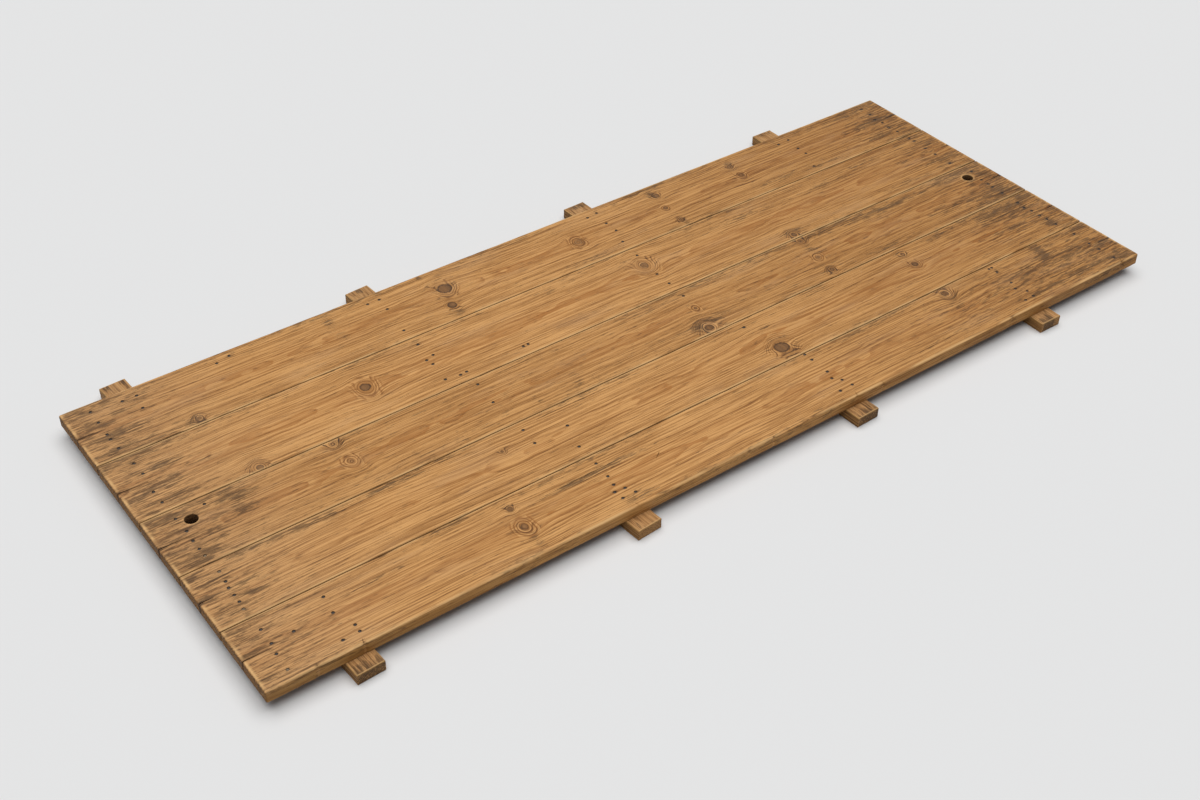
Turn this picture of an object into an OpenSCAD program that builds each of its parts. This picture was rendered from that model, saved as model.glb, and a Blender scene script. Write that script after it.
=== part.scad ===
// A ledged timber panel: five sawn softwood boards laid edge to edge and nailed down on four battens.
// The panel lies on its battens. X runs along the boards, Y across them towards the back, Z is up.
// The origin is on the floor, under the middle of the panel's own box.

/* [Boards] */
// Length of every board
board_l = 2516; // [1500:1:3600]
// Thickness of every board
board_t = 30; // [20:1:40]
// Width of the back board at the middle of its length
back_board_w = 214; // [140:1:260]
// Width of the second board from the back
second_board_w = 213; // [140:1:260]
// Width of the centre board, which has the two hand holes
centre_board_w = 188; // [140:1:260]
// Width of the fourth board from the back
fourth_board_w = 186; // [140:1:260]
// Width of the front board
front_board_w = 190; // [140:1:260]
// Open seam between neighbouring boards
seam_w = 2; // [1:0.5:4]

/* [Worn edges] */
// Radius worn on the top of the panel's two outer long edges
outer_arris_r = 4; // [2:0.5:8]
// Radius on the top of the edges along a seam
seam_arris_r = 2.5; // [1:0.5:5]
// Radius on the top of the board ends
end_arris_r = 4; // [1:0.5:6]
// Radius of the sawn edges underneath
sawn_arris_r = 1.5; // [0.5:0.5:4]
// Radius of each board's corners seen from above
corner_r = 4; // [3:1:15]

/* [End splits] */
// Width of a drying split where it opens at the board's end
split_mouth_w = 2.5; // [1:0.5:5]
// Length of the longest drying split
split_l = 90; // [30:5:150]

/* [Hand holes] */
// Diameter of the two holes through the centre board
hole_d = 30; // [20:1:45]
// Rounding of the hole's rim, taken as a bevel above and below
hole_ease = 2; // [0.5:0.5:4]
// Left hole's centre from the left end of the board
left_hole_inset = 95; // [60:1:140]
// Right hole's centre from the right end of the board
right_hole_inset = 87; // [60:1:140]
// Both holes' centres from the back edge of the centre board
hole_edge_inset = 50; // [35:1:70]

/* [Battens] */
// Width of a batten
batten_w = 65; // [40:1:100]
// Thickness of a batten
batten_t = 28; // [18:1:50]
// How far the battens stick out in front of the boards
front_overhang = 39; // [10:1:120]
// How far the battens stick out behind the boards
back_overhang = 76; // [10:1:120]
// Left batten's middle from the left end of the boards
left_batten_inset = 179; // [150:1:300]
// Right batten's middle from the right end of the boards
right_batten_inset = 365; // [150:1:500]
// Radius on the four long edges and the ends of a batten
batten_arris_r = 2; // [0.5:0.5:5]

/* [Hidden] */
$fn = 48;

// Every cut reaches past the wood by this much
overrun = 5;

board_ws = [back_board_w, second_board_w, centre_board_w, fourth_board_w, front_board_w];
last_board = len(board_ws) - 1;

// The seams aren't quite parallel to the panel's edges: each climbs towards the back by this much,
// from the left end to the right, because the boards run out of width along their length
seam_climbs = [0, 7, 13, 3];
edge_climbs = concat([0], seam_climbs, [0]);

// Lengths of the splits at the two ends of each board, from the back board to the front one
left_split_shares = [0.6, 0.8, 1, 0.4, 0.7];
right_split_shares = [0.5, 0.35, 0.7, 0.6, 0.5];

// Places of the battens between the left and the right one, and how far each is nailed out of square
batten_place_shares = [0, 0.338, 0.671, 1];
batten_skews = [2.5, 4, 2, -0.6];

function total(list, count) = count <= 0 ? 0 : list[count - 1] + total(list, count - 1);

deck_w = total(board_ws, len(board_ws)) + last_board * seam_w;
batten_l = deck_w + front_overhang + back_overhang;
deck_back_y = batten_l / 2 - back_overhang;
left_batten_x = left_batten_inset - board_l / 2;
right_batten_x = board_l / 2 - right_batten_inset;

// The two long edges of a board at the middle of its length, and their small angles to X
function back_y(i) = deck_back_y - total(board_ws, i) - i * seam_w;
function front_y(i) = back_y(i) - board_ws[i];
function back_angle(i) = atan(edge_climbs[i] / board_l);
function front_angle(i) = atan(edge_climbs[i + 1] / board_l);
function middle_y(i) = (back_y(i) + front_y(i)) / 2;
function middle_climb(i) = (edge_climbs[i] + edge_climbs[i + 1]) / 2;
function back_arris(i) = i == 0 ? outer_arris_r : seam_arris_r;
function front_arris(i) = i == last_board ? outer_arris_r : seam_arris_r;
function batten_x(i) = left_batten_x + batten_place_shares[i] * (right_batten_x - left_batten_x);

// The arc of a worn corner meets the board's faces at a slight angle, so its centre lies this near to them
corner_inset_share = 0.9;
corner_inset = corner_inset_share * corner_r;

// Section of a board's edge, with the wood towards +X, a worn top edge and a sawn lower one
module edge_section(reach, r_top, r_low) {
    top = [r_top, board_t - r_top];
    low = [r_low, r_low];
    polygon([[r_low, 0], [reach, 0], [reach, board_t], [r_top, board_t], top,
             [0, board_t - r_top], [0, r_low], low]);
    translate(top) circle(r_top);
    translate(low) circle(r_low);
}

// Endless slab with one worked long edge on the line through y, and its wood on the given side of that line
module edge_slab(y, angle, side, reach, r_top) {
    translate([0, y, 0])
        rotate([0, 0, angle])
            mirror([0, side < 0 ? 1 : 0, 0])
                rotate([90, 0, 90])
                    linear_extrude(board_l + 2 * overrun, center = true)
                        edge_section(reach, r_top, sawn_arris_r);
}

// Slab across the panel with both of the boards' ends worked
module end_slab() {
    rotate([90, 0, 0])
        linear_extrude(batten_l, center = true)
            for (end = [0, 1])
                mirror([end, 0])
                    translate([-board_l / 2, 0])
                        edge_section(board_l / 2 + overrun, end_arris_r, sawn_arris_r);
}

// What is worn off a board's corner: end is -1 or 1 along X, side is -1 at the front edge, 1 at the back
module corner_cut(end, side, y, angle) {
    x = end * (board_l / 2 - corner_inset);
    translate([x, y + x * tan(angle) - side * corner_inset, -overrun])
        mirror([end < 0 ? 1 : 0, 0, 0])
            mirror([0, side < 0 ? 1 : 0, 0])
                linear_extrude(board_t + 2 * overrun)
                    difference() {
                        square(corner_inset + overrun);
                        circle(corner_r);
                    }
}

// Wedge of a drying split, open at one end of the board and closing along its middle
module end_split(i, end, share) {
    slope = atan(middle_climb(i) / board_l);
    mouth = split_mouth_w / 2;
    translate([end * board_l / 2, middle_y(i) + end * middle_climb(i) / 2, -overrun])
        rotate([0, 0, slope])
            mirror([end > 0 ? 1 : 0, 0, 0])
                linear_extrude(board_t + 2 * overrun)
                    polygon([[-overrun, mouth], [-overrun, -mouth], [0, -mouth],
                             [share * split_l, 0], [0, mouth]]);
}

// One sawn board with its worn edges, its drying splits and its thickness standing on the battens
module board(i) {
    reach = board_ws[i] + 2 * max(seam_climbs) + overrun;
    translate([0, 0, batten_t])
        difference() {
            intersection() {
                edge_slab(front_y(i), front_angle(i), 1, reach, front_arris(i));
                edge_slab(back_y(i), back_angle(i), -1, reach, back_arris(i));
                end_slab();
            }
            for (end = [-1, 1]) {
                corner_cut(end, -1, front_y(i), front_angle(i));
                corner_cut(end, 1, back_y(i), back_angle(i));
            }
            end_split(i, -1, left_split_shares[i]);
            end_split(i, 1, right_split_shares[i]);
        }
}

// A round hole through the board, its rims eased above and below
module hand_hole(x, y) {
    flare = hole_ease + overrun;
    translate([x, y, batten_t]) {
        translate([0, 0, -overrun]) cylinder(h = board_t + 2 * overrun, d = hole_d);
        translate([0, 0, board_t - hole_ease]) cylinder(h = flare, d1 = hole_d, d2 = hole_d + 2 * flare);
        translate([0, 0, -overrun]) cylinder(h = flare, d1 = hole_d + 2 * flare, d2 = hole_d);
    }
}

module back_board() { color("peru") board(0); }

module second_board() { color("peru") board(1); }

module centre_board() {
    x_left = left_hole_inset - board_l / 2;
    x_right = board_l / 2 - right_hole_inset;
    y_middle = back_y(2) - hole_edge_inset;
    color("peru")
        difference() {
            board(2);
            hand_hole(x_left, y_middle + x_left * tan(back_angle(2)));
            hand_hole(x_right, y_middle + x_right * tan(back_angle(2)));
        }
}

module fourth_board() { color("peru") board(3); }

module front_board() { color("peru") board(4); }

// A rectangle with round corners, centred on the origin along X and standing on it along Y
module bar_section(w, t) {
    r = batten_arris_r;
    translate([r - w / 2, 0]) square([w - 2 * r, t]);
    translate([-w / 2, r]) square([w, t - 2 * r]);
    for (x = [r - w / 2, w / 2 - r], y = [r, t - r])
        translate([x, y]) circle(r);
}

// One batten: a planed bar, nailed on a little out of square
module batten(i) {
    translate([batten_x(i), 0, 0])
        rotate([0, 0, batten_skews[i]])
            intersection() {
                rotate([90, 0, 0])
                    linear_extrude(batten_l + 2 * overrun, center = true)
                        bar_section(batten_w, batten_t);
                rotate([90, 0, 90])
                    linear_extrude(batten_w + 2 * overrun, center = true)
                        bar_section(batten_l, batten_t);
            }
}

module left_batten() { color("saddlebrown") batten(0); }

module left_middle_batten() { color("saddlebrown") batten(1); }

module right_middle_batten() { color("saddlebrown") batten(2); }

module right_batten() { color("saddlebrown") batten(3); }

back_board();
second_board();
centre_board();
fourth_board();
front_board();
left_batten();
left_middle_batten();
right_middle_batten();
right_batten();
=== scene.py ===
import math

import bpy
import numpy as np
from mathutils import Euler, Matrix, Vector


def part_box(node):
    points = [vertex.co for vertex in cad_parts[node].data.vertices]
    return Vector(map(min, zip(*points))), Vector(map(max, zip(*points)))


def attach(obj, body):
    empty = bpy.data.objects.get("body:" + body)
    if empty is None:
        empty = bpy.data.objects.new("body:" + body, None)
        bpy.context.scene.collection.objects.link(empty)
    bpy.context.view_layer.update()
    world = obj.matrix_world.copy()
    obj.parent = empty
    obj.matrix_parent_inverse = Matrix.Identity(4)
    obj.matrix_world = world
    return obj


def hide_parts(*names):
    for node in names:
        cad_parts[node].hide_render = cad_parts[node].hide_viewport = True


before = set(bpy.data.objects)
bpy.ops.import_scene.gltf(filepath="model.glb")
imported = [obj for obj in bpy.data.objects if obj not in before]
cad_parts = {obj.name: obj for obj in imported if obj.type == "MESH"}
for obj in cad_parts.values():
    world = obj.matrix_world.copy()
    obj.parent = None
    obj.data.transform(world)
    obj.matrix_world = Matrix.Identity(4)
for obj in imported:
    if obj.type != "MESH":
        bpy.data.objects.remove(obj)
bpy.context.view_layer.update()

# Battens
# Four sawn softwood bars lie across under the boards and hold them together. They are nailed on a little
# out of square and stick out in front and behind. Their ends are stained and show the growth rings.

MM = 0.001
batten_l = 1114
batten_w = 65
batten_t = 28
batten_arris = 2
batten_scour = 0.3
batten_waves = 0.25
batten_levels = 8
batten_ring_w = 5.5
chip_depth = 0.8
chip_reach = 3
batten_skews = {"left_batten": 2.5, "left_middle_batten": 4,
                "right_middle_batten": 2, "right_batten": -0.6}


def paint(red, green, blue):
    """A colour as it looks in daylight, from 0 to 255, turned into the light that Blender works in."""
    shares = [value / 255 for value in (red, green, blue)]
    return (*(s / 12.92 if s <= 0.04045 else ((s + 0.055) / 1.055) ** 2.4 for s in shares), 1)


def ripple(u, v, seed):
    """Smooth random values from -1 to 1, with about one hill or hollow to each unit of u and of v."""
    size = 64
    cells = np.random.default_rng(seed).uniform(-1, 1, (size, size))
    u, v = np.broadcast_arrays(np.asarray(u, float), np.asarray(v, float))
    row, column = np.floor(u).astype(int), np.floor(v).astype(int)
    down, right = u - row, v - column
    down, right = down * down * (3 - 2 * down), right * right * (3 - 2 * right)
    row, next_row = row % size, (row + 1) % size
    column, next_column = column % size, (column + 1) % size
    upper = cells[row, column] * (1 - right) + cells[row, next_column] * right
    lower = cells[next_row, column] * (1 - right) + cells[next_row, next_column] * right
    return upper * (1 - down) + lower * down


def ease(value, start, end):
    """Goes smoothly from 0 to 1 as value goes from start to end."""
    share = np.clip((value - start) / (end - start), 0, 1)
    return share * share * (3 - 2 * share)


def worn_down(distance, radius):
    """How far a round edge lies below the face, at a distance from where the sharp edge was."""
    short = np.clip(radius - distance, 0, radius)
    return radius - np.sqrt(radius ** 2 - short ** 2)


def spread(length, close, start, step):
    """Places over a length from its middle: close ones at both ends, and even steps from start inwards."""
    half = np.concatenate([close, np.arange(start, length / 2, step)])
    return np.concatenate([half - length / 2, [0], length / 2 - half[::-1]])


def skin(block):
    """The outside of a block of points: their places, and the four-cornered faces between them."""
    outer = np.zeros(block.shape[:3], bool)
    outer[[0, -1]] = outer[:, [0, -1]] = outer[:, :, [0, -1]] = True
    number = np.full(outer.shape, -1)
    number[outer] = np.arange(outer.sum())
    faces = []
    for axis in range(3):
        for side in (0, -1):
            sheet = np.moveaxis(number, axis, 0)[side]
            a, b, c, d = sheet[:-1, :-1], sheet[1:, :-1], sheet[1:, 1:], sheet[:-1, 1:]
            corners = (a, b, c, d) if (side == -1) == (axis != 1) else (a, d, c, b)
            faces.append(np.stack(corners, -1).reshape(-1, 4))
    return block[outer], np.concatenate(faces)


def new_piece(name, points, faces):
    """A mesh object with its points given in millimetres."""
    mesh = bpy.data.meshes.new(name)
    mesh.from_pydata((np.asarray(points) * MM).tolist(), [], [list(face) for face in faces])
    made = bpy.data.objects.new(name, mesh)
    bpy.context.scene.collection.objects.link(made)
    return made


def note(piece, **fields):
    """Keeps a number or a place with each point of a piece, for its material to read by name."""
    for name, values in fields.items():
        vector = np.ndim(values) == 2
        kept = piece.data.attributes.new(name, "FLOAT_VECTOR" if vector else "FLOAT", "POINT")
        flat = np.ascontiguousarray(values, np.float32).ravel()
        kept.data.foreach_set("vector" if vector else "value", flat)


def smooth(piece, sharpest):
    """Shades a piece smoothly, but not over edges sharper than so many degrees."""
    piece.data.shade_smooth()
    piece.data.set_sharp_from_angle(angle=math.radians(sharpest))


def fit(tree, kind, sockets, **settings):
    """Adds a node to a material. Its sockets are set to a number or joined to another node's output."""
    made = tree.nodes.new("ShaderNode" + kind)
    for key, value in settings.items():
        setattr(made, key, value)
    for key, value in sockets.items():
        if isinstance(value, bpy.types.NodeSocket):
            tree.links.new(value, made.inputs[key])
        else:
            made.inputs[key].default_value = value
    return made


def noted(tree, name, output="Fac"):
    """What note() kept with the points of the piece under this name."""
    return fit(tree, "Attribute", {}, attribute_name=name).outputs[output]


def plus(tree, *values):
    """Adds up numbers and sockets."""
    total = values[0]
    for value in values[1:]:
        total = fit(tree, "Math", {0: total, 1: value}, operation="ADD").outputs[0]
    return total


def times(tree, *values):
    """Multiplies numbers and sockets with each other."""
    product = values[0]
    for value in values[1:]:
        product = fit(tree, "Math", {0: product, 1: value}, operation="MULTIPLY").outputs[0]
    return product


def between(tree, value, start, end, low=0.0, high=1.0):
    """Takes value from start to end smoothly over to low to high."""
    sockets = {"Value": value, "From Min": start, "From Max": end, "To Min": low, "To Max": high}
    return fit(tree, "MapRange", sockets, interpolation_type="SMOOTHSTEP").outputs[0]


def swing(tree, noise, low, high):
    """Takes cloudy noise, most of which lies from 0.3 to 0.7, over to low to high."""
    return between(tree, noise, 0.3, 0.7, low, high)


def mix(tree, share, first, second, how="MIX"):
    """Lays a share of the second colour over the first."""
    sockets = {0: share, 6: first, 7: second}
    return fit(tree, "Mix", sockets, data_type="RGBA", blend_type=how).outputs[2]


def stain(tree, place, lengths, fineness=3.0, roughness=0.6):
    """Cloudy noise, with clouds of these lengths in millimetres along, across and down the wood."""
    stretch = {0: place, 1: [1 / length for length in lengths]}
    stretched = fit(tree, "VectorMath", stretch, operation="MULTIPLY").outputs[0]
    sockets = {"Vector": stretched, "Scale": 1.0, "Detail": fineness, "Roughness": roughness}
    return fit(tree, "TexNoise", sockets).outputs[0]


def shades(tree, value, *stops):
    """Runs through shades, each given as where it stands from 0 to 1 and its colour or grey."""
    ramp = fit(tree, "ValToRGB", {0: value})
    bands = ramp.color_ramp.elements
    while len(bands) < len(stops):
        bands.new(0.5)
    for band, (place, colour) in zip(bands, stops):
        band.position = place
        band.color = (colour, colour, colour, 1) if isinstance(colour, (int, float)) else colour
    return ramp.outputs[0]


def softwood(name, pale, warm, brown, dark):
    """Old pine, oiled by use: growth rings, fibres, pits, knots, grime, worn edges that also serve as a
    painted highlight, nail rust, and painted shade on its sides, in its gaps and towards the deck's right
    end.
    """
    made = bpy.data.materials.new(name)
    made.use_nodes = True
    tree = made.node_tree
    place = noted(tree, "grain", "Vector")

    # Each year's ring ends in a dark line of late wood. Rings that the saw met flat show as broad tongues.
    flame = noted(tree, "tongue")
    calm = between(tree, flame, 0.1, 0.8, 1.0, 0.3)
    wander = swing(tree, stain(tree, place, (200, 40, 40)), -0.3, 0.3)
    ragged = swing(tree, stain(tree, place, (60, 7, 7)), -0.1, 0.1)
    ring = plus(tree, noted(tree, "rings"), times(tree, wander, calm), times(tree, ragged, calm))
    year = fit(tree, "Math", {0: ring}, operation="FLOOR").outputs[0]
    season = fit(tree, "Math", {0: ring}, operation="FRACT").outputs[0]
    vigour = fit(tree, "TexWhiteNoise", {"W": year}, noise_dimensions="1D").outputs[0]
    patchy = stain(tree, place, (200, 12, 12))
    late = shades(tree, season, (0, 0.0), (0.44, 0.03), (0.72, 0.75), (0.87, 1.0), (1, 0.0))
    lines = times(tree, late, between(tree, vigour, 0, 1, 0.35, 1.3),
                  between(tree, patchy, 0.35, 0.6, 0.55, 1.0))
    tongues = shades(tree, season, (0, 0.1), (0.3, 0.08), (0.5, 0.4), (0.85, 0.75),
                     (0.93, 1.0), (0.97, 1.0), (1, 0.1))

    # Rings, fibres and clouds together choose the shade of the wood. Round a knot the rings stand out.
    near = between(tree, noted(tree, "knot"), 0.0, 0.6)
    rift = noted(tree, "rift")
    fibres = stain(tree, place, (180, 2.7, 2.7), 3.6, 0.7)
    clouds = stain(tree, place, (300, 36, 36), 4.0)
    bands = stain(tree, place, (170, 9, 9))
    plain = plus(tree, 0.42, times(tree, flame, -0.3), times(tree, noted(tree, "side"), -0.3),
                 times(tree, rift, -0.3))
    strengths = {0: noted(tree, "swirled"), 2: plain, 3: times(tree, near, 1.6)}
    strength = fit(tree, "Mix", strengths).outputs[0]
    tone = plus(tree, times(tree, lines, strength),
                swing(tree, fibres, -0.32, 0.52), swing(tree, clouds, 0.05, 0.14),
                times(tree, rift, between(tree, bands, 0.35, 0.65, -0.03, 0.1)),
                times(tree, near, 0.05))
    colour = shades(tree, tone, (0.0, pale), (0.33, warm), (0.66, brown), (1.0, dark))
    colour = mix(tree, times(tree, flame, tongues, 0.82), colour, paint(168, 109, 52))

    # A knot has a mottled heart in a dark rim, and a collar of warmer wood round that.
    eye = fit(tree, "VectorMath", {0: noted(tree, "eye", "Vector")}, operation="LENGTH")
    eye = plus(tree, eye.outputs["Value"], swing(tree, stain(tree, place, (9, 9, 9)), -0.14, 0.14))
    resin = noted(tree, "resin")
    heart = plus(tree, stain(tree, place, (6, 4, 4), 2.6), between(tree, eye, 0.1, 0.7, 0.08, -0.04))
    heart_colour = shades(tree, heart, (0.3, paint(104, 72, 42)), (0.7, paint(140, 98, 58)))
    inside = times(tree, between(tree, eye, 1.06, 0.94), resin)
    rim = times(tree, between(tree, eye, 0.74, 0.97), between(tree, eye, 1.2, 1.0), resin)
    collar = times(tree, between(tree, eye, 1.0, 1.25), between(tree, eye, 1.9, 1.35), resin)
    colour = mix(tree, times(tree, collar, 0.22), colour, warm)
    colour = mix(tree, inside, colour, heart_colour)
    colour = mix(tree, times(tree, rim, 0.8), colour, paint(60, 38, 21))

    # Weather has tanned, dusted and bleached the wood, and grime has settled in its streaks and pits. The
    # tan also holds painted shade, which darkens the boards from the middle towards the deck's right end.
    clean = plus(tree, 1.0, times(tree, inside, -0.9))
    colour = mix(tree, noted(tree, "tanned"), colour, paint(226, 220, 207), "MULTIPLY")
    dust = between(tree, stain(tree, place, (240, 50, 50), 4.0), 0.5, 0.72, 0.0, 0.22)
    colour = mix(tree, times(tree, dust, clean), colour, paint(186, 147, 107))
    colour = mix(tree, times(tree, noted(tree, "bleached"), 0.22), colour, paint(180, 147, 114))
    grime = noted(tree, "grime")
    streaks = stain(tree, place, (32, 5, 5), 4.0, 0.66)
    soiled = plus(tree, grime, between(tree, streaks, 0.28, 0.72, -0.82, 0.4), times(tree, lines, 0.3))
    soiled = times(tree, between(tree, soiled, 0.15, 0.85, 0.0, 0.9), clean)
    colour = mix(tree, soiled, colour, paint(164, 164, 164), "MULTIPLY")
    pits = plus(tree, stain(tree, place, (30, 4.8, 4.8)), times(tree, grime, 0.17))
    pitted = times(tree, between(tree, pits, 0.63, 0.73, 0.0, 0.5), clean)
    colour = mix(tree, pitted, colour, paint(80, 56, 36))

    # Use has worn the edges pale, which also serves as a painted highlight. Sawn sides have aged and carry
    # painted shade, nails have rusted into the wood, and painted shade darkens gaps, cuts, ends and
    # undersides.
    # Painted highlight: the pale worn edges also stand in for the light that the arrises catch.
    bare_and_highlight = times(tree, noted(tree, "worn"), between(tree, fibres, 0.3, 0.6, 0.55, 0.95))
    colour = mix(tree, bare_and_highlight, colour, paint(225, 180, 122))
    # Painted shade: sawn sides and ends are darkened besides their aged colour.
    colour = mix(tree, noted(tree, "aged"), colour, paint(197, 187, 146), "MULTIPLY")
    rust = plus(tree, noted(tree, "nail"), swing(tree, streaks, -0.2, 0.2))
    colour = mix(tree, between(tree, rust, 0.4, 0.95, 0.0, 0.75), colour, paint(66, 50, 38))
    # Painted shade darkens cuts, holes, seams, splits, ends and undersides.
    colour = mix(tree, noted(tree, "gap"), colour, paint(88, 68, 50), "MULTIPLY")

    height = plus(tree, times(tree, lines, -0.7), times(tree, fibres, 1.2), times(tree, pitted, -1.0))
    bump = fit(tree, "Bump", {"Height": height, "Strength": 0.5, "Distance": 0.0015})
    surface = tree.nodes["Principled BSDF"]
    tree.links.new(colour, surface.inputs["Base Color"])
    tree.links.new(swing(tree, fibres, 0.6, 0.8), surface.inputs["Roughness"])
    tree.links.new(bump.outputs[0], surface.inputs["Normal"])
    surface.inputs["Specular IOR Level"].default_value = 0.25
    return made


def ring_field(along, across, depth, heart_depth, ring_w, seed):
    """How many growth rings lie between the tree's heart, which is below the wood, and a point in it."""
    reach = np.hypot(across, heart_depth - depth)
    taper = 6 * ripple(along / 460, 0.5, seed + 2) + 5.5 * ripple(along / 120, 0.5, seed + 3)
    taper = taper + 2 * ripple(along / 42, across / 14, seed + 4)
    return (reach + taper * np.exp(-(across / 60) ** 2)) / ring_w


batten_wood = softwood("batten_wood", pale=paint(190, 144, 92), warm=paint(168, 122, 74),
                       brown=paint(134, 94, 54), dark=paint(96, 66, 38))
along = spread(batten_l, [0, 0.6, 1.4, 2.4, 4], 9, 6)
across = spread(batten_w, [0, 0.3, 0.8, 1.4, 2.2], 5, 4)
for number, (name, skew) in enumerate(batten_skews.items()):
    grid_l, grid_w = np.meshgrid(along, across, indexing="ij")
    inset = np.minimum(batten_l / 2 - abs(grid_l), batten_w / 2 - abs(grid_w))
    dip = worn_down(inset, batten_arris)
    top = batten_t - dip - batten_scour - batten_waves * ripple(grid_l / 90, grid_w / 20, 70 + number)
    heights = dip[..., None] + (top - dip)[..., None] * np.linspace(0, 1, batten_levels)
    block = np.stack(np.broadcast_arrays(grid_l[..., None], grid_w[..., None], heights), -1)
    chipped = chip_depth * np.clip(ripple(block[..., 0] / 25, block[..., 2] / 9, 80 + number), 0, 1)
    block[..., 1] -= np.sign(block[..., 1]) * chipped * (abs(block[..., 1]) > batten_w / 2 - chip_reach)
    local, faces = skin(block)
    length, width, height = local.T
    low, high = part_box(name)
    middle_x, middle_y = [(low[axis] + high[axis]) / 2 / MM for axis in (0, 1)]
    turn = math.radians(skew)
    places = [middle_x - width * math.cos(turn) - length * math.sin(turn),
              middle_y - width * math.sin(turn) + length * math.cos(turn), height]
    batten = new_piece(name + "_wood", np.stack(places, -1), faces)
    depth = batten_t - height
    to_end = batten_l / 2 - abs(length)
    to_side = batten_w / 2 - abs(width)
    on_end = ease(to_end, 1.5, 0.2)
    soiled = ease(to_end, 44, 8) * ease(ripple(length / 26, width / 20, 90 + number), -0.5, 0.4)
    rings = ring_field(length, width + 12 * (-1) ** number, depth, 34 + 7 * number,
                       batten_ring_w, 11 + 10 * number)
    note(batten, grain=np.stack([length + 2000 * number, width, height], -1), rings=rings,
         # Painted shade: the batten's sides and ends are darkened besides their aged colour.
         aged=np.maximum(0.5 * on_end, 0.6 * ease(to_side, 2.5, 1)),
         grime=0.95 * soiled + 0.1 * on_end,
         # Worn edges, which also serve as a painted highlight.
         worn=0.8 * ease(np.minimum(to_side, to_end), 3, 1.2) * ease(depth, 3, 1))
    smooth(batten, 50)
    batten.data.materials.append(batten_wood)
    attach(batten, "root")
    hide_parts(name)

# Boards
# Five sawn pine boards lie edge to edge on the battens, with an open seam between them. Use has rounded
# their edges and scoured their tops, and drying has split each of them from both ends along the heart.

board_l = 2516
board_t = 30
board_top = batten_t + board_t
seam_arris = 2.5
outer_arris = 4
end_arris = 4
sawn_arris = 1.5
corner_r = 4
front_chip_w = 9
back_chip_w = 8
split_mouth_w = 2.5
split_overrun = 3
split_shade_w = 2.3
crack_depth = 4
cut_overrun = 1
hole_r = 15
hole_ease = 2
hole_sink = 0.4
hole_sides = 48
nail_hole_r = 3.8
nail_hole_depth = 1.6
nail_sides = 14
small_rust_r = 9
wide_rust_r = 14
wide_rust_x = 1100
board_ring_w = 5.8
board_levels = 7
row_w = 3.4
column_l = 8
knot_column_l = 3.2
nick_column_l = 2
least_column_l = 1
board_wood = softwood("board_wood", pale=paint(214, 160, 98), warm=paint(183, 131, 75),
                      brown=paint(146, 98, 51), dark=paint(98, 64, 34))


def points_of(piece):
    """The places of a piece's points, in millimetres, as three rows x, y and z."""
    flat = np.empty(len(piece.data.vertices) * 3)
    piece.data.vertices.foreach_get("co", flat)
    return flat.reshape(-1, 3).T / MM


def scoured(x, y):
    """How far use has worn the boards' top down at a place."""
    worn = 0.45 + 0.25 * ripple(x / 260, y / 45, 31) + 0.18 * ripple(x / 45, y / 18, 32)
    return np.clip(worn, 0.05, None)


def tube(profile, x, y, sides):
    """A turned solid: its profile of radius and height, spun about an upright line."""
    angles = np.arange(sides) * 2 * math.pi / sides
    points = [(x + r * math.cos(a), y + r * math.sin(a), z) for r, z in profile for a in angles]
    faces = [list(range(sides))[::-1], [(len(profile) - 1) * sides + k for k in range(sides)]]
    for ring in range(len(profile) - 1):
        for k in range(sides):
            after = (k + 1) % sides
            faces.append([ring * sides + k, ring * sides + after,
                          (ring + 1) * sides + after, (ring + 1) * sides + k])
    return points, faces


def blade(path, half_widths, low, high, low_share=1.0):
    """An upright blade along a path. It has its half widths at the top and a share of them below."""
    path = np.asarray(path)
    ahead = (path[-1] - path[0]) / np.hypot(*(path[-1] - path[0]))
    left = np.array([-ahead[1], ahead[0]])
    points = []
    for spot, half in zip(path, half_widths):
        right_side, left_side = spot - left * half, spot + left * half
        low_right, low_left = spot - left * half * low_share, spot + left * half * low_share
        points += [(*low_right, low), (*low_left, low), (*left_side, high), (*right_side, high)]
    last = len(path) * 4 - 4
    faces = [[0, 3, 2, 1], [last, last + 1, last + 2, last + 3]]
    for start in range(0, last, 4):
        for k in range(4):
            after = (k + 1) % 4
            faces.append([start + k, start + after, start + 4 + after, start + 4 + k])
    return points, faces


def cut(piece, solids):
    """Takes solids, each given by its points and faces, out of a piece."""
    points, faces = [], []
    for solid_points, solid_faces in solids:
        faces += [[corner + len(points) for corner in face] for face in solid_faces]
        points += solid_points
    tool = new_piece("tool", points, faces)
    modifier = piece.modifiers.new("cut", "BOOLEAN")
    modifier.object = tool
    modifier.solver = "EXACT"
    bpy.context.view_layer.update()
    whole = piece.data
    ready = piece.evaluated_get(bpy.context.evaluated_depsgraph_get())
    piece.data = bpy.data.meshes.new_from_object(ready)
    piece.modifiers.clear()
    bpy.data.meshes.remove(whole)
    bpy.data.meshes.remove(tool.data)


def edge_at(y, climb, x):
    """Where a board's long edge is at x. It is at y halfway along and climbs towards the back."""
    return y + climb * x / board_l


def middle_line(edges, climbs):
    """The line along the middle of a board: where it is halfway along, and its slope."""
    return sum(edges) / 2, sum(climbs) / 2 / board_l


def columns(knots, nicks):
    """Where along a board its mesh has points: close together at the ends, at knots and at nicks."""
    ends = [0, 0.25, 0.8, 1.6, 2.7, 4, 5.5, 7.2, 9.5, 13]
    busy = [(knot_x, 1.8 * swirl, knot_column_l) for knot_x, _, _, swirl, _ in knots]
    busy += [(nick_x, 1.5 * nick_l, nick_column_l) for nick_x, nick_l, _ in nicks]
    found = [end - board_l / 2 for end in ends]
    while found[-1] < board_l / 2 - ends[-1]:
        steps = [step for x, half_l, step in busy if abs(found[-1] - x) < half_l]
        found.append(found[-1] + min(steps, default=column_l))
    inner = [x for x in found if x < board_l / 2 - ends[-1] - least_column_l]
    return np.array(inner + [board_l / 2 - end for end in ends[::-1]])


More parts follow.
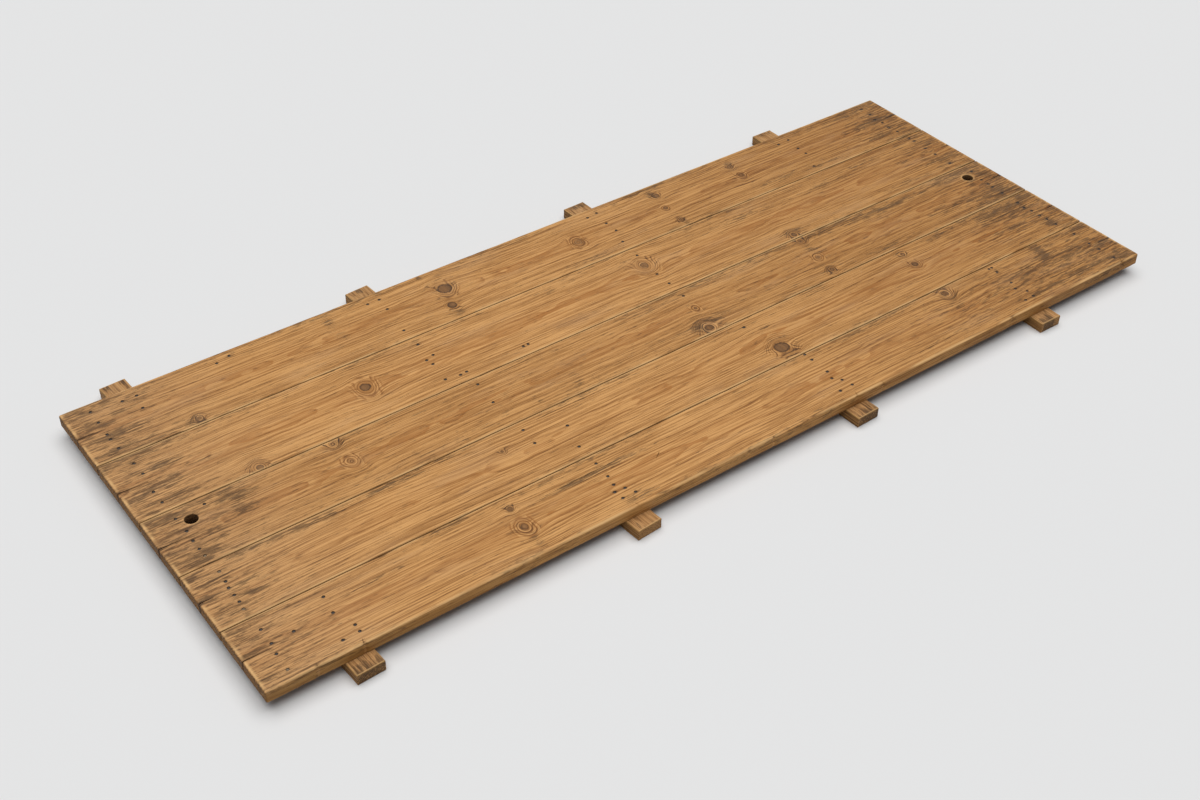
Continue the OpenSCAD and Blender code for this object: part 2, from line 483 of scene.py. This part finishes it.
def shape_board(name, edges, climbs, arrises, seed, knots, nicks):
    """A board before anything is cut out of it, with its worn and chipped edges and its scoured top."""
    front, back = edges
    x = columns(knots, nicks)
    from_end = board_l / 2 - abs(x)
    rounded = worn_down(from_end, corner_r)
    chipped = np.clip(ripple(x / 23, 0.5, seed + 50) - 0.3, 0, None)
    for nick_x, nick_l, bite in nicks:
        chipped += bite * np.clip(1 - abs(x - nick_x - 0.2 * nick_l) / nick_l, 0, 1)
    ragged = np.clip(ripple(x / 25, 0.5, seed + 51) - 0.3, 0, None)
    low_edge = edge_at(front, climbs[0], x) + rounded + 0.6 * chipped
    high_edge = edge_at(back, climbs[1], x) - rounded - 0.5 * ragged
    round_rows = 1 - np.cos(np.radians([0, 18, 36, 54, 72, 90]))
    flat_rows = np.linspace(0, 1, round((back - front) / row_w))[1:-1]
    flat_w = (high_edge - low_edge - arrises[0] - arrises[1])[:, None]
    y = np.concatenate([low_edge[:, None] + arrises[0] * round_rows,
                        low_edge[:, None] + arrises[0] + flat_w * flat_rows,
                        high_edge[:, None] - arrises[1] * round_rows[::-1]], 1)
    to_front, to_back = y - low_edge[:, None], high_edge[:, None] - y
    to_end = np.broadcast_to(from_end[:, None], y.shape)
    dip = np.maximum.reduce([worn_down(to_front, arrises[0]), worn_down(to_back, arrises[1]),
                             worn_down(to_end, end_arris)])
    rise = np.maximum.reduce([worn_down(distance, sawn_arris) for distance in (to_front, to_back, to_end)])
    top = board_top - dip - scoured(x[:, None], y)
    top -= chipped[:, None] * np.clip(1 - to_front / front_chip_w, 0, 1) ** 2
    top -= ragged[:, None] * np.clip(1 - to_back / back_chip_w, 0, 1) ** 2
    bottom = batten_t + rise
    heights = bottom[..., None] + (top - bottom)[..., None] * np.linspace(0, 1, board_levels)
    block = np.stack(np.broadcast_arrays(x[:, None, None], y[..., None], heights), -1)
    return new_piece(name + "_wood", *skin(block))


def cutters(edges, climbs, seed, splits, cracks, nails, holes):
    """What is cut out of a board: its drying splits, short cracks, nail holes and hand holes."""
    middle, slope = middle_line(edges, climbs)
    tools = []
    for side, split_l in zip((-1, 1), splits):
        steps = np.array([-0.06, 0, 0.2, 0.4, 0.6, 0.8, 1]) * split_l
        path_x = side * (board_l / 2 - steps)
        sway = 1.1 * ripple(path_x / 14, 0.5, seed + 60) * (steps > 0)
        path = np.stack([path_x, middle + slope * path_x + sway], -1)
        half_widths = split_mouth_w / 2 * np.clip(1 - steps / split_l, 0.04, 1)
        tools.append(blade(path, half_widths, batten_t - split_overrun, board_top + split_overrun))
    for crack_x, crack_y, run_x, run_y, crack_w in cracks:
        steps = np.linspace(0, 1, 9)
        sway = 0.8 * ripple(steps * 4, crack_x / 9, seed + 61)
        path = np.stack([crack_x + run_x * steps + sway * (abs(run_y) > abs(run_x)),
                         crack_y + run_y * steps + sway * (abs(run_x) > abs(run_y))], -1)
        half_widths = crack_w / 2 * np.clip(1 - (2 * steps - 1) ** 2, 0.12, 1)
        tools.append(blade(path, half_widths, board_top - crack_depth, board_top + cut_overrun, 0.1))
    for nail_x, nail_y in nails:
        seat = board_top - scoured(nail_x, nail_y) - nail_hole_depth
        bore = [(nail_hole_r, seat), (nail_hole_r, board_top + cut_overrun)]
        tools.append(tube(bore, nail_x, nail_y, nail_sides))
    curve = [(1 - math.cos(a), math.sin(a)) for a in np.radians([0, 30, 60, 85])]
    above = [(hole_r + hole_ease * out, board_top - hole_sink - hole_ease * (1 - up)) for out, up in curve]
    below = [(hole_r + hole_ease * out, batten_t + hole_ease * (1 - up)) for out, up in curve[::-1]]
    wide = hole_r + 2 * hole_ease
    bore = [(wide, batten_t - hole_ease), *below, *above, (wide, board_top + hole_ease)]
    tools += [tube(bore, hole_x, hole_y, hole_sides) for hole_x, hole_y in holes]
    return tools


def knot_fields(x, y, knots, seed):
    """What the knots do to the wood at each point: they bend its grain, ring it, stain it and shade it."""
    bent_y = y.copy()
    rings, mark, resin, swirled, halo = np.zeros((5, len(y)))
    eye = np.full((len(y), 3), 9.0)
    nearest = np.full(len(y), 9.0)
    one_side = ease(ripple(x / 40, y / 30, seed + 3), -0.4, 0.4)
    for knot_x, knot_y, knot_r, swirl, dark in knots:
        off_x, off_y = x - knot_x, y - knot_y
        away = np.hypot(off_x, off_y) / knot_r
        closest = away < nearest
        nearest = np.minimum(nearest, away)
        eye[closest] = np.stack([off_x, off_y, 0 * y], -1)[closest] / knot_r
        resin = np.where(closest, min(1, 0.25 + 0.8 * dark) * (away < 2.2), resin)
        far = (np.hypot(off_x, off_y / 1.2) + 0.01) * (1 + 0.12 * ripple(x / 26, y / 18, seed + 1))
        bent_y -= off_y * np.minimum(1, 0.5 * swirl / far) ** 2
        rings += swirl / 5.4 * np.clip(1 - far / (1.1 * swirl), 0, None) ** 1.2
        swirled = np.maximum(swirled, ease(far, 1.2 * swirl, 0.8 * swirl))
        mark = np.maximum(mark, np.clip(1 - far / (1.4 * swirl), 0, 1) * (0.6 + 0.4 * one_side))
        shade = (0.13 + 0.22 * dark) * (0.4 + 0.6 * one_side) * np.exp(-0.5 * (far / swirl) ** 2)
        halo = np.maximum(halo, shade * ease(away, 1, 1.6))
    return bent_y, rings, mark, resin, swirled, halo, eye


def grime_at(x, y, to_front, to_back, halo, seed, soil, patches):
    """How much grime has settled on a board: round knots, at its ends, along its seams and in patches."""
    grime = halo + 0.4 * soil + 0.45 * ease(board_l / 2 - abs(x), 300, 20)
    grime = grime + 0.56 * ease(to_back, 38, 3) * ease(ripple(x / 150, 0.5, seed + 7), -0.4, 0.6)
    grime = grime + 0.42 * ease(to_front, 22, 3) * ease(ripple(x / 140, 0.5, seed + 8), -0.2, 0.7)
    for patch_x, patch_y, half_l, half_w, dark in patches:
        away = ((x - patch_x) / half_l) ** 2 + ((y - patch_y) / half_w) ** 2
        grime = np.maximum(grime, (0.14 + 0.85 * dark) * np.exp(-0.5 * away) + 0.5 * grime)
    return grime


def rust_at(x, y, nails):
    """How strongly the rust of a board's nails stains a point of it. It reaches wider at the right end."""
    rust = np.zeros_like(y)
    for nail_x, nail_y in nails:
        rust_r = wide_rust_r if nail_x > wide_rust_x else small_rust_r
        away = np.hypot((x - nail_x) / 1.4, y - nail_y)
        rust = np.maximum(rust, np.clip(1 - away / rust_r, 0, 1))
    return rust


def bare_and_highlit_edges(x, y, depth, to_front, to_back, arrises, seed, holes):
    """How far use has worn the wood pale along a board's edges, at its ends and round its holes. The pale
    edges also serve as a painted highlight.
    """
    from_end = board_l / 2 - abs(x)
    front_share = 1 if arrises[0] == outer_arris else 0.9
    back_share = 1 if arrises[1] == outer_arris else 0.85
    front_lip = front_share * ease(to_front, arrises[0] + 1.6, 0.5 * arrises[0] + 1)
    back_lip = back_share * ease(to_back, arrises[1] + 1.6, 0.5 * arrises[1] + 1)
    end_lip = ease(from_end, 10, 3.5) * ease(from_end, 0.4, 2.6)
    worn = front_lip * (0.6 + 0.4 * ease(ripple(x / 90, 0.5, seed + 13), -0.5, 0.3))
    worn = np.maximum(worn, back_lip * ease(ripple(x / 230, 0.5, seed + 9), -0.5, 0.3))
    worn = np.maximum(worn, end_lip * (0.45 + 0.55 * ease(ripple(y / 11, x / 900, seed + 12), -0.3, 0.4)))
    for hole_x, hole_y in holes:
        rim = ease(np.hypot(x - hole_x, y - hole_y), hole_r + 5, hole_r + 2)
        worn = np.maximum(worn, 0.65 * rim)
    return worn * ease(depth, 4.2, 2.2) * ease(ripple(x / 60, y / 30, seed + 5), -0.9, 0.2)


def gap_shade(x, y, z, to_front, to_back, middle_y, arrises, splits, holes):
    """How much painted shade darkens a point of a board: in a cut, in a seam, on an end, in a split or
    underneath.
    """
    depth = board_top - z
    from_end = board_l / 2 - abs(x)
    in_cut = ease(depth, 0.9, 2.6) * ease(depth, board_t - 0.5, board_t - 2)
    in_cut = in_cut * ease(np.minimum(np.minimum(to_front, to_back), from_end), 2.6, 4)
    for hole_x, hole_y in holes:
        in_hole = np.hypot(x - hole_x, y - hole_y) < hole_r + 3 * hole_ease
        in_cut = np.where(in_hole, 0.7 * ease(depth, 1, 2.4) + 0.3 * ease(depth, 2.4, 14), in_cut)
    in_seam = np.maximum(ease(to_front, 1.4, 0.3) * (arrises[0] < outer_arris),
                         ease(to_back, 1.4, 0.3) * (arrises[1] < outer_arris))
    on_end = ease(from_end, 3, 1) * ease(depth, 1.2, 4)
    low_end = ease(z, batten_t + 6, batten_t + 1.5) * ease(from_end, 3, 1)
    underneath = ease(z, batten_t + 1.2, batten_t + 0.2)
    gap = np.maximum.reduce([in_cut, 0.45 * in_seam, 0.28 * on_end, 0.7 * low_end, 0.45 * underneath])
    for side, split_l in zip((-1, 1), splits):
        inward = board_l / 2 - side * x
        open_w = split_mouth_w / 2 * np.clip(1 - inward / split_l, 0, 1) + split_shade_w
        in_split = (abs(y - middle_y) < open_w) * (inward < split_l)
        gap = np.maximum(gap, 0.7 * in_split)
    return gap


def lay_board(name, edges, climbs, arrises, heart_depth, seed, splits, soil, knots, patches, nails,
              cracks=(), nicks=(), holes=()):
    """One board from its front edge to its back one. Both climb towards the back over its length."""
    board = shape_board(name, edges, climbs, arrises, seed, knots, nicks)
    cut(board, cutters(edges, climbs, seed, splits, cracks, nails, holes))

    x, y, z = points_of(board)
    depth = board_top - z
    from_end = board_l / 2 - abs(x)
    to_front = y - edge_at(edges[0], climbs[0], x)
    to_back = edge_at(edges[1], climbs[1], x) - y
    to_side = np.minimum(np.minimum(to_front, to_back), from_end)
    middle, slope = middle_line(edges, climbs)
    bent_y, knot_rings, knot_mark, resin, swirled, halo, eye = knot_fields(x, y, knots, seed)
    across = bent_y - middle - slope * x + 7 * ripple(x / 420, 0.5, seed)
    flame = np.exp(-(across / 30) ** 2) * (0.5 + 0.5 * ease(ripple(x / 260, 0.5, seed + 6), -0.6, 0.3))
    grime = grime_at(x, y, to_front, to_back, halo, seed, soil, patches)
    on_side = ease(to_side, 2.2, 0.6) * ease(depth, 2, 7)
    on_end = ease(from_end, 3, 1) * ease(depth, 1.2, 4)
    note(board, grain=np.stack([x + 3000 * seed, across + 2 * knot_rings, z], -1),
         rings=ring_field(x, across, depth, heart_depth, board_ring_w, seed) + knot_rings,
         tongue=flame, rift=ease(abs(across), 35, 75), side=on_side,
         knot=knot_mark, resin=resin, eye=eye, swirled=swirled,
         # Painted shade: the tan darkens the boards from the middle to the right end, besides each board's
         # soil.
         tanned=ease(x, -200, 1300) + soil, bleached=ease(x, -800, -1200) * (1 - on_end),
         # Painted shade: sides and ends are darkened, more towards the left end, besides their aged
         # colour.
         aged=np.maximum(on_side * (0.5 + 0.35 * ease(x, -500, -1000)), on_end),
         grime=grime * ease(depth, 26, 12), nail=rust_at(x, y, nails),
         # Worn edges, which also serve as a painted highlight.
         worn=bare_and_highlit_edges(x, y, depth, to_front, to_back, arrises, seed, holes) * (1 - on_end),
         # Painted shade in cuts, seams, splits, at the ends and underneath.
         gap=gap_shade(x, y, z, to_front, to_back, middle + slope * x, arrises, splits, holes))
    smooth(board, 40)
    board.data.materials.append(board_wood)
    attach(board, "root")
    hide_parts(name)


# A board has its edges as they are halfway along, how far they climb, the radii of its worn edges, how
# far the tree's heart lies below its top, how long its left and right splits are, and how soiled it is.
# Places are in millimetres along and across the whole deck, and a nail's is its head's middle.
# A knot has its place, its radius, the radius of the grain that bends round it, and how dark it is.
# A patch of grime has its place, its half length, its half width and how dark it is.
# A crack has the place where it starts, its run along and across, and its width.
# A nick in the front edge has its place along, its half length and its bite.

back_nails = [(-1121, 444), (-1086, 444), (-1093, 395), (-848, 457), (-884, 447), (-478, 447),
              (-445, 447), (-449, 401), (-461, 303), (193, 448), (226, 453), (218, 398), (219, 356),
              (201, 303), (862, 442), (901, 445), (892, 393), (892, 360), (864, 295), (-1195, 449),
              (-1195, 404), (-1196, 354), (-1196, 334), (-1194, 296), (1195, 453), (1195, 416),
              (1185, 386), (1191, 360), (1187, 331), (1191, 298)]
lay_board("back_board", edges=(267, 481), climbs=(0, 0), arrises=(seam_arris, outer_arris),
          heart_depth=52, seed=1, splits=(54, 45), soil=0.15,
          knots=[(-290, 393, 17, 36, 1), (-309, 324, 11, 24, 0.9), (105, 368, 10, 28, 0.35),
                 (408, 428, 8, 22, 0.8), (392, 366, 6, 14, 0.8), (389, 297, 4, 16, 0.4),
                 (667, 429, 6, 18, 0.4), (667, 377, 8, 20, 0.5), (-1005, 287, 6, 20, 0.5)],
          patches=[(-1226, 451, 30, 14, 0.6), (-1214, 394, 40, 14, 0.7), (-1175, 342, 55, 12, 0.8),
                   (-1183, 291, 50, 11, 0.7), (-1088, 436, 40, 8, 0.5), (-1130, 413, 30, 7, 0.5),
                   (-1015, 290, 18, 12, 0.6), (-593, 440, 10, 26, 0.5), (-593, 368, 13, 12, 0.55),
                   (-842, 458, 9, 6, 0.6), (92, 285, 55, 9, 0.5), (393, 292, 9, 24, 0.6),
                   (399, 448, 9, 18, 0.6), (674, 438, 10, 18, 0.4), (732, 305, 70, 10, 0.45),
                   (1157, 451, 80, 10, 0.5), (1177, 381, 60, 16, 0.9), (1225, 374, 26, 18, 0.5),
                   (1135, 310, 60, 12, 0.45), (892, 288, 80, 7, 0.45), (-303, 290, 24, 7, 0.4),
                   (-319, 470, 6, 9, 0.7)],
          nails=back_nails)

second_nails = [(-463, 235), (-478, 171), (-455, 180), (-474, 150), (-481, 84), (-443, 78), (-425, 80),
                (-262, 84), (-248, 84), (193, 231), (183, 135), (183, 85), (-1188, 229), (-1186, 187),
                (-1192, 120), (-1191, 79), (1191, 252), (1192, 231), (1188, 184), (1188, 144),
                (1186, 85)]
lay_board("second_board", edges=(52, 265), climbs=(7, 0), arrises=(seam_arris, seam_arris),
          heart_depth=46, seed=2, splits=(72, 32), soil=0,
          knots=[(-646, 167, 12, 38, 0.9), (-972, 58, 9, 30, 0.8), (179, 185, 10, 40, 0.7),
                 (588, 69, 7, 24, 0.85)],
          patches=[(-1137, 191, 38, 12, 0.85), (-1182, 131, 45, 17, 0.8), (-1156, 80, 60, 11, 0.6),
                   (-1226, 61, 26, 10, 0.5), (-1066, 157, 30, 7, 0.5), (-1193, 240, 24, 9, 0.4),
                   (-465, 240, 12, 12, 0.4), (-81, 234, 40, 7, 0.3), (147, 224, 24, 10, 0.45),
                   (521, 214, 100, 11, 0.4), (815, 208, 90, 10, 0.4), (1084, 167, 22, 6, 0.75),
                   (969, 227, 60, 9, 0.45), (1218, 208, 36, 14, 0.5), (1186, 118, 50, 12, 0.45),
                   (1020, 80, 90, 10, 0.4), (607, 80, 26, 9, 0.45)],
          nails=second_nails)

centre_nails = [(-1121, 22), (-430, 25), (-437, -50), (178, 22), (-1190, 15), (-1187, -32),
                (-1189, -66), (-1189, -95), (-1188, -120), (1203, 20), (1193, -27), (1193, -54),
                (1190, -71), (1190, -108)]
lay_board("centre_board", edges=(-138, 50), climbs=(13, 7), arrises=(seam_arris, seam_arris),
          heart_depth=54, seed=3, splits=(90, 63), soil=0.3,
          knots=[(-806, 34, 7, 24, 0.25), (-800, -40, 5, 26, 0.2), (148, -117, 11, 36, 0.9),
                 (581, 36, 7, 24, 0.3), (568, -46, 6, 20, 0.6), (560, -107, 6, 20, 0.7),
                 (170, -36, 4, 16, 0.6)],
          patches=[(-1207, 22, 35, 17, 0.75), (-1079, 36, 12, 16, 0.5), (-1053, 10, 30, 17, 0.85),
                   (-1060, -35, 22, 13, 0.7), (-1188, -112, 40, 12, 0.6), (-1130, -60, 36, 11, 0.5),
                   (-1207, -131, 30, 7, 0.8), (-1203, -25, 30, 8, 0.5), (-439, 36, 20, 8, 0.4),
                   (-350, -112, 12, 17, 0.35), (-234, -112, 12, 20, 0.4), (115, -98, 24, 12, 0.38),
                   (188, -95, 30, 11, 0.6), (578, -10, 12, 17, 0.5), (892, 24, 150, 11, 0.6),
                   (1148, 34, 90, 12, 0.7), (1225, -10, 22, 20, 0.6), (1046, -73, 80, 18, 0.5),
                   (1186, -99, 60, 18, 0.7), (1110, -120, 60, 9, 0.6), (764, -114, 60, 8, 0.4),
                   (687, 36, 110, 8, 0.45)],
          nails=centre_nails, holes=[(-1163, -3.2), (1171, 3.3)])

fourth_nails = [(-437, -171), (-441, -223), (-347, -216), (-368, -290), (216, -165), (-1185, -178),
                (-1187, -211), (-1190, -230), (-1190, -255), (-1190, -277), (-1192, -300),
                (1187, -166), (1182, -193), (1187, -216), (1188, -243), (1189, -268), (1190, -298)]
lay_board("fourth_board", edges=(-326, -140), climbs=(3, 13), arrises=(seam_arris, seam_arris),
          heart_depth=48, seed=4, splits=(36, 54), soil=0,
          knots=[(239, -279, 17, 42, 1), (750, -214, 8, 20, 1), (755, -165, 5, 16, 0.5),
                 (-516, -205, 4, 12, 0.5)],
          patches=[(-1239, -163, 20, 10, 0.9), (-1207, -195, 40, 8, 0.6), (-1233, -233, 30, 8, 0.7),
                   (-1156, -233, 30, 5, 0.7), (-1148, -268, 20, 6, 0.8), (-1066, -155, 60, 9, 0.75),
                   (-950, -160, 70, 9, 0.65), (-772, -157, 60, 8, 0.6), (-631, -150, 26, 7, 0.5),
                   (-337, -150, 30, 6, 0.5), (156, -157, 30, 7, 0.4), (251, -196, 30, 6, 0.35),
                   (751, -160, 12, 10, 0.5), (918, -157, 60, 8, 0.5), (1071, -163, 50, 13, 0.75),
                   (1148, -165, 70, 17, 0.8), (1225, -152, 30, 10, 0.8), (1122, -195, 60, 11, 0.6),
                   (1084, -240, 60, 7, 0.5), (1186, -285, 24, 13, 0.65), (1244, -227, 9, 16, 0.6),
                   (918, -318, 40, 6, 0.5), (1140, -230, 160, 60, 0.3)],
          nails=fourth_nails)

front_nails = [(-1049, -363), (-1054, -411), (-1035, -465), (-1036, -485), (-1074, -486),
               (-1140, -410), (-371, -357), (-375, -406), (-381, -435), (-393, -455), (-367, -457),
               (-390, -480), (-356, -480), (264, -332), (264, -357), (263, -412), (254, -437),
               (270, -455), (239, -483), (277, -482), (888, -340), (898, -340), (895, -361),
               (890, -414), (878, -439), (895, -463), (863, -487), (892, -486), (-1190, -369),
               (-1190, -413), (-1195, -443), (-1196, -490), (1193, -358), (1190, -411), (1191, -444),
               (1192, -492)]
lay_board("front_board", edges=(-518, -328), climbs=(0, 3), arrises=(outer_arris, seam_arris),
          heart_depth=50, seed=5, splits=(63, 45), soil=0,
          knots=[(-611, -430, 8, 28, 0.7), (-605, -368, 6, 16, 0.6), (717, -350, 9, 30, 0.85)],
          patches=[(-1233, -349, 30, 8, 0.5), (-1239, -413, 25, 7, 0.7), (-1239, -490, 30, 7, 0.8),
                   (-938, -381, 60, 4, 0.5), (-734, -336, 60, 6, 0.55), (-606, -368, 12, 20, 0.5),
                   (-337, -378, 70, 6, 1), (-465, -381, 70, 5, 0.9), (-612, -483, 10, 24, 0.4),
                   (-353, -492, 30, 9, 0.6), (457, -342, 60, 6, 0.35), (1057, -366, 13, 30, 1.1),
                   (1046, -384, 20, 14, 0.9), (994, -413, 60, 8, 0.5), (1135, -413, 50, 10, 0.7),
                   (1161, -342, 40, 10, 0.5), (1225, -342, 30, 11, 0.75), (1212, -432, 40, 10, 0.85),
                   (1084, -483, 140, 8, 0.85), (956, -483, 80, 7, 0.5), (1212, -497, 40, 11, 0.7),
                   (585, -483, 100, 5, 0.45), (1010, -425, 300, 60, 0.42)],
          nails=front_nails,
          cracks=[(-569, -378, 250, 3, 1.6), (-255, -422, 22, 16, 2), (-1046, -521, 4, 17, 2.2),
                  (-1149, -521, 5, 14, 1.2), (-375, -521, -3, 16, 1.4), (5, -521, 2, 9, 1.8),
                  (260, -521, 4, 18, 1.6), (1194, -521, 6, 20, 1.8)],
          nicks=[(-1148, 10, 2.2), (-1045, 7, 2.6), (-374, 16, 1.4), (-68, 6, 1.8), (5, 6, 2.2),
                 (259, 10, 1.8), (342, 6, 1.8), (781, 16, 2), (1194, 12, 3)])

# Nails
# Flat-headed wire nails hold the boards down on the battens. Rows of older ones stand in both ends. They
# have been driven a little below the wood and have rusted black. A few still shine: their iron is painted
# lighter, partly as wear and partly as a painted glint.

nail_head_r = 3.3
nail_rise = 0.9
nail_shank_r = 1.5
nail_l = 22
nail_point_l = 4
nail_lean = 0.08
# These nails get the lighter iron, a painted highlight for their glint.
shining = [(-1188, -120), (-1185, -178), (-1192, -300), (-1196, -490)]


def nail_iron(name, dark, light, roughness):
    """Iron, mottled between a dark and a light shade, and rough in places."""
    made = bpy.data.materials.new(name)
    made.use_nodes = True
    tree = made.node_tree
    place = fit(tree, "TexCoord", {}).outputs["Object"]
    rough = fit(tree, "TexNoise", {"Vector": place, "Scale": 900.0, "Detail": 4.0}).outputs[0]
    surface = tree.nodes["Principled BSDF"]
    tree.links.new(shades(tree, rough, (0.35, dark), (0.7, light)), surface.inputs["Base Color"])
    tree.links.new(swing(tree, rough, roughness, roughness + 0.25), surface.inputs["Roughness"])
    surface.inputs["Metallic"].default_value = 0.4
    return made


rusted = nail_iron("rusted_iron", paint(38, 33, 29), paint(70, 58, 49), 0.5)
# Lighter iron, partly worn bright and partly a painted glint.
rubbed_and_painted_glint = nail_iron("rubbed_iron_painted_glint", paint(96, 82, 65), paint(140, 118, 92), 0.6)
nail_groups = {"back_nails": back_nails, "second_nails": second_nails, "centre_nails": centre_nails,
               "fourth_nails": fourth_nails, "front_nails": front_nails}
for name, places in nail_groups.items():
    points, faces, bright = [], [], []
    for x, y in places:
        seat = board_top - float(scoured(x, y)) - nail_hole_depth
        shape = [(0.4, seat - nail_l), (nail_shank_r, seat - nail_l + nail_point_l),
                 (nail_shank_r, seat - 0.2), (nail_head_r - 0.4, seat), (nail_head_r, seat + 0.35),
                 (nail_head_r - 0.3, seat + 0.7), (1.6, seat + nail_rise), (0.3, seat + nail_rise + 0.05)]
        nail_points, nail_faces = tube(shape, x, y, nail_sides)
        tilt = np.array([ripple(x / 7, y / 7, 41), ripple(x / 7, y / 7, 42)]) * nail_lean
        faces += [[corner + len(points) for corner in face] for face in nail_faces]
        points += [(px, py, pz + (px - x) * tilt[0] + (py - y) * tilt[1]) for px, py, pz in nail_points]
        bright += [int((x, y) in shining)] * len(nail_faces)
    nails = new_piece(name, points, faces)
    smooth(nails, 50)
    nails.data.materials.append(rusted)
    nails.data.materials.append(rubbed_and_painted_glint)
    nails.data.polygons.foreach_set("material_index", bright)
    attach(nails, "root")

# Floor, light and camera
# The panel lies on a plain pale studio floor under one wide soft light from above. The camera looks down
# at it from off its front left corner, about 2.4 m above the floor.

floor_half_l = 30000
fill_light = 0.15
backdrop_light = 0.78
corners = [(-1, -1), (1, -1), (1, 1), (-1, 1)]
floor = new_piece("floor", [(x * floor_half_l, y * floor_half_l, 0) for x, y in corners], [(0, 1, 2, 3)])
pale = bpy.data.materials.new("pale_floor")
pale.use_nodes = True
matt = pale.node_tree.nodes["Principled BSDF"]
matt.inputs["Base Color"].default_value = paint(229, 229, 229)
matt.inputs["Roughness"].default_value = 0.9
matt.inputs["Specular IOR Level"].default_value = 0
floor.data.materials.append(pale)

scene = bpy.context.scene
world = bpy.data.worlds.new("studio")
world.use_nodes = True
scene.world = world
studio = world.node_tree
sky = studio.nodes["Background"]
sky.inputs["Color"].default_value = (0.84, 1, 1.13, 1)
rays = fit(studio, "LightPath", {}).outputs
seen = fit(studio, "Math", {0: rays["Is Camera Ray"], 1: rays["Is Glossy Ray"]}, operation="MAXIMUM")
strength = between(studio, seen.outputs[0], 0, 1, fill_light, backdrop_light)
studio.links.new(strength, sky.inputs["Strength"])

lamp = bpy.data.lights.new("soft_light", "SUN")
lamp.energy = 2.66
lamp.color = (1.024, 1, 0.98)
lamp.angle = math.radians(74)
lamp_stand = bpy.data.objects.new("soft_light", lamp)
lamp_stand.rotation_euler = Euler((math.radians(-3), math.radians(3), 0))
scene.collection.objects.link(lamp_stand)

camera = bpy.data.cameras.new("camera")
camera.sensor_width = 36
camera.lens = 48.61
tripod = bpy.data.objects.new("camera", camera)
tripod.location = (-1.9635, -2.4807, 2.4095)
tripod.rotation_euler = Euler([math.radians(angle) for angle in (50.696, -0.6865, -36.4467)])
scene.collection.objects.link(tripod)
scene.camera = tripod
scene.view_settings.view_transform = "Standard"
